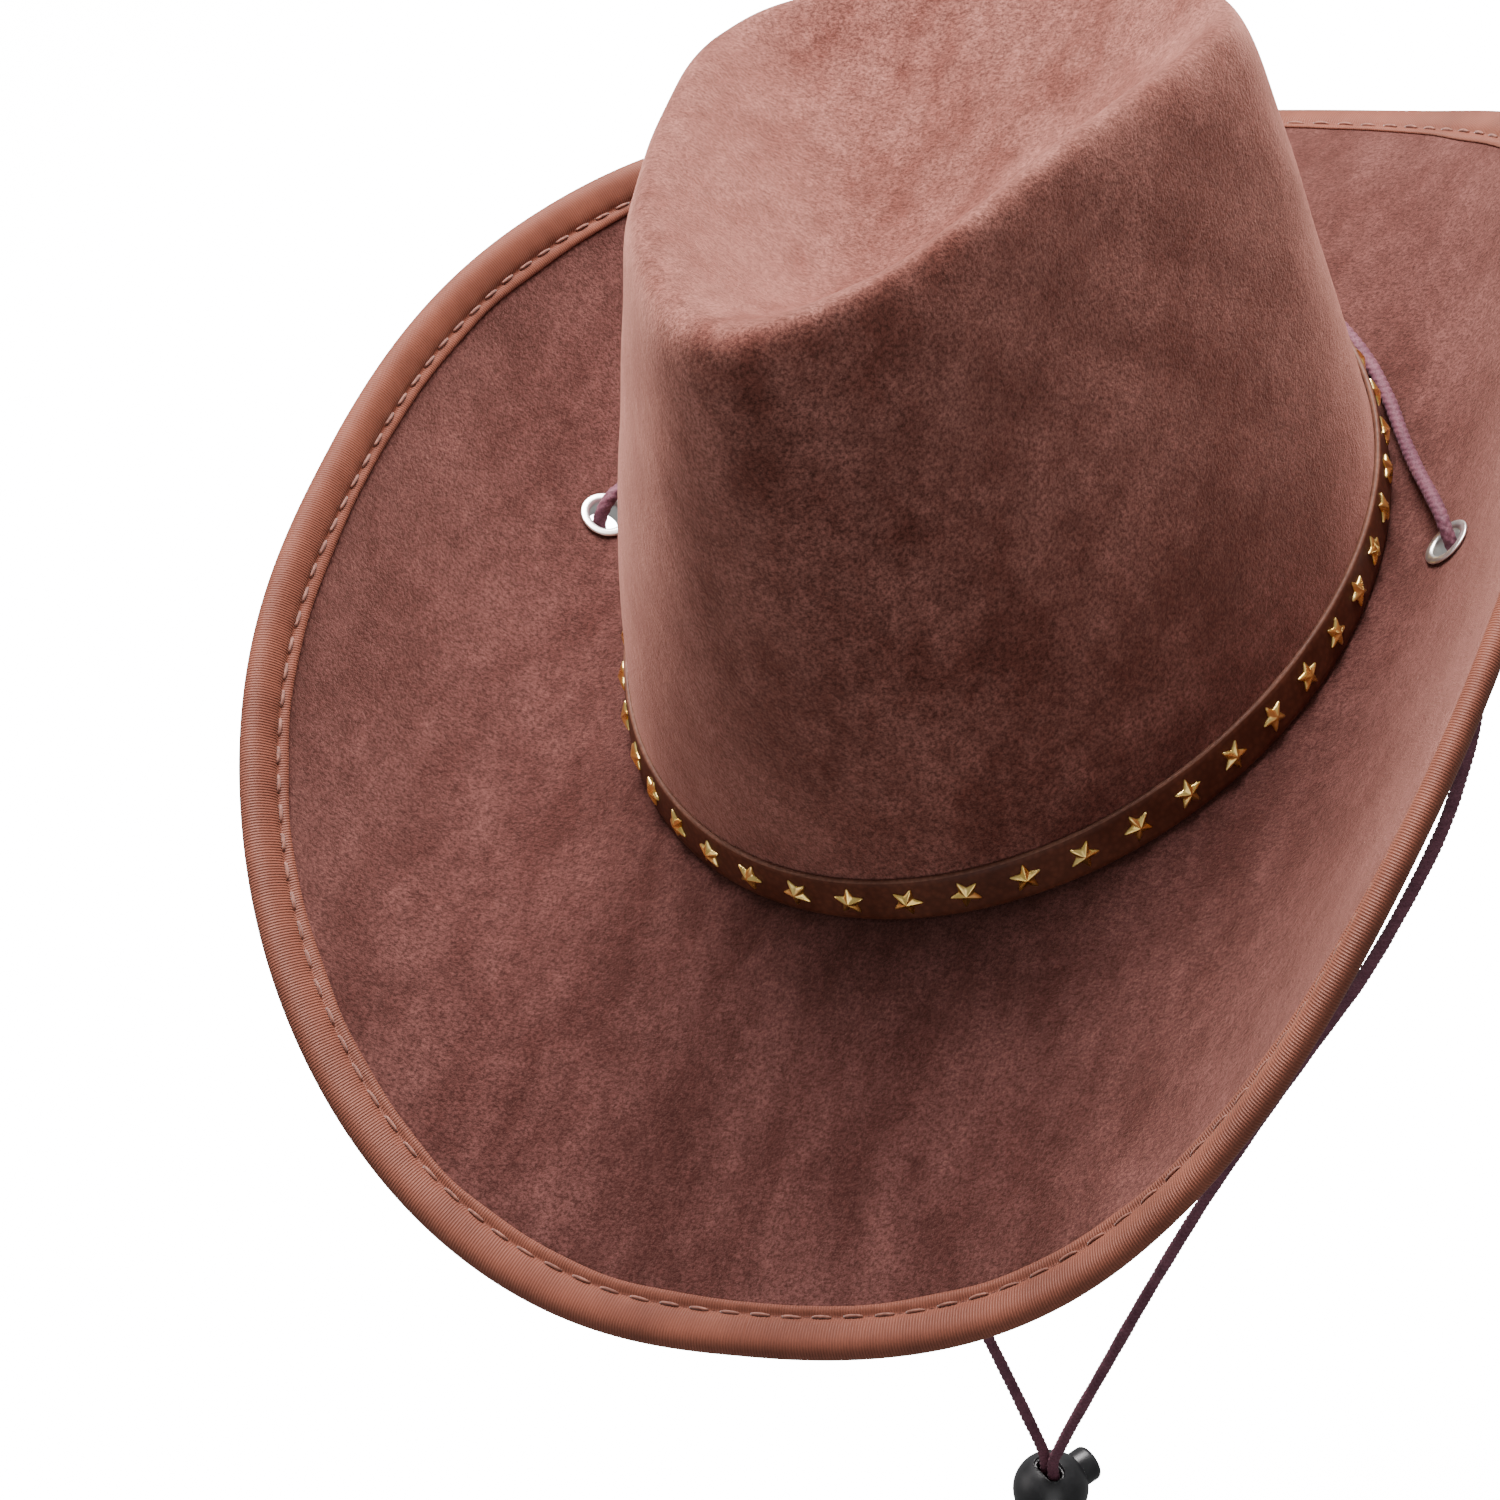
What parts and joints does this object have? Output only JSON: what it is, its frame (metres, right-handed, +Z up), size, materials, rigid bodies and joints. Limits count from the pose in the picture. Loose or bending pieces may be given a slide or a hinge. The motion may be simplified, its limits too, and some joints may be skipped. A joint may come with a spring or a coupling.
{
  "type": "western costume hat",
  "caption": "Suede western costume hat with pinched crown, curled wire-bound brim, star-studded strap and a chin cord with a sliding lock.",
  "frame": {"origin": "middle of the head opening, level with the top face of the brim where it meets the crown", "axes": "+Z up out of the crown, -Y to the front of the hat, +X to the wearer's left"},
  "size_m": [0.289, 0.3877, 0.5482],
  "materials": {
    "suede": "dark reddish brown brushed microfibre suede with a soft mottled nap",
    "stiff_lining": "black bonded non-woven stiffener",
    "sweatband": "thin dark brown artificial leather",
    "thread": "light rust-brown sewing thread",
    "binding_tape": "rust-brown ribbed satin tape",
    "strap": "dark brown artificial leather strap with cut edges",
    "gold_studs": "polished gold-coloured pressed metal",
    "eyelet_metal": "bright silver plated steel",
    "steel_wire": "drawn spring steel",
    "cord": "plum-brown braided cord",
    "lock_plastic": "satin black moulded plastic"
  },
  "bodies": {
    "hat": {"crown_suede": "suede", "crown_stiffener": "stiff_lining", "sweatband": "sweatband", "sweatband_stitches": "thread", "brim_top_suede": "suede", "brim_core": "stiff_lining", "brim_under_suede": "suede", "brim_wire": "steel_wire", "brim_binding": "binding_tape", "binding_stitches": "thread", "hat_band": "strap", "band_stars": "gold_studs", "eyelet_right": "eyelet_metal", "eyelet_left": "eyelet_metal", "eyelet_washer_right": "eyelet_metal", "eyelet_washer_left": "eyelet_metal", "chin_cord_back": "cord"},
    "chin_loop": {"chin_cord_right": "cord", "chin_cord_left": "cord", "chin_cord_knot": "cord"},
    "cord_lock": {"lock_body": "lock_plastic", "lock_spring": "steel_wire"},
    "lock_button": {"lock_plunger": "lock_plastic"}
  },
  "joints": [
    {"name": "chin_swing", "type": "hinge", "parent": "hat", "child": "chin_loop", "pos_m": [0, 0.008, -0.002], "axis": [1, 0, 0], "range_deg": [-60, 60]},
    {"name": "lock_slide", "type": "slide", "parent": "chin_loop", "child": "cord_lock", "axis": [-0.2079, 0, -0.9781], "range_m": [0, 0.02]},
    {"name": "button_press", "type": "slide", "parent": "cord_lock", "child": "lock_button", "axis": [-0.561, -0.8192, 0.1193], "range_m": [0, 0.0025], "stiffness_N_per_m": 300, "springref_m": -0.004, "deforming": ["lock_spring"]}
  ]
}
